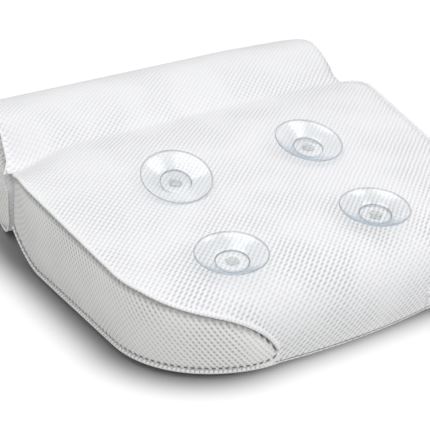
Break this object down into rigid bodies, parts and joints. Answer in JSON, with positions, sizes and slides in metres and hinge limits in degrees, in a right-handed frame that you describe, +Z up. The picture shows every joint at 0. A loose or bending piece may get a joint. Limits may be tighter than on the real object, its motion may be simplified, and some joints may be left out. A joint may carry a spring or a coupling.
{
  "type": "bath pillow",
  "caption": "Padded bath pillow of white air mesh, a wedge pad with gusseted sides and a head roll that folds at a soft crease, with clear suction cups on its back",
  "frame": {"origin": "middle of the bounding box, on the floor that the pillow lies on", "axes": "+X along the head roll, +Y from the pad to the head roll, +Z up out of the side with the suction cups"},
  "size_m": [0.3832, 0.41, 0.1035],
  "materials": {
    "mesh": "white knitted spacer mesh",
    "seam": "white sewn mesh edge",
    "filling": "loose white spacer filling",
    "clear_vinyl": "clear soft vinyl, glossy",
    "washer": "pale plastic"
  },
  "bodies": {
    "pad": {"back_panel": "mesh", "face_panel": "mesh", "left_gusset": "mesh", "right_gusset": "mesh", "back_wall": "mesh", "left_gusset_seam": "seam", "right_gusset_seam": "seam", "pad_core": "filling", "back_left_washer": "washer", "back_right_washer": "washer", "front_left_washer": "washer", "front_right_washer": "washer"},
    "roll": {"roll_cover": "mesh", "roll_left_end": "mesh", "roll_right_end": "mesh", "roll_left_seam": "seam", "roll_right_seam": "seam", "roll_core": "filling"},
    "back_left_cup": {"back_left_cup": "clear_vinyl"},
    "back_right_cup": {"back_right_cup": "clear_vinyl"},
    "front_left_cup": {"front_left_cup": "clear_vinyl"},
    "front_right_cup": {"front_right_cup": "clear_vinyl"}
  },
  "joints": [
    {"name": "roll_fold", "type": "hinge", "parent": "pad", "child": "roll", "pos_m": [0, 0.076, 0.085], "axis": [1, 0, 0], "range_deg": [-20, 60]},
    {"name": "back_left_turn", "type": "hinge", "parent": "pad", "child": "back_left_cup", "pos_m": [-0.071, -0.032, 0.08252], "axis": [-0.0084, -0.2253, 0.9743], "continuous": true},
    {"name": "back_right_turn", "type": "hinge", "parent": "pad", "child": "back_right_cup", "pos_m": [0.066, -0.032, 0.08256], "axis": [0.0078, -0.2252, 0.9743], "continuous": true},
    {"name": "front_left_turn", "type": "hinge", "parent": "pad", "child": "front_left_cup", "pos_m": [-0.084, -0.145, 0.07245], "axis": [-0.0116, -0.1051, 0.9944], "continuous": true},
    {"name": "front_right_turn", "type": "hinge", "parent": "pad", "child": "front_right_cup", "pos_m": [0.056, -0.145, 0.07272], "axis": [0.0077, -0.1048, 0.9945], "continuous": true}
  ]
}
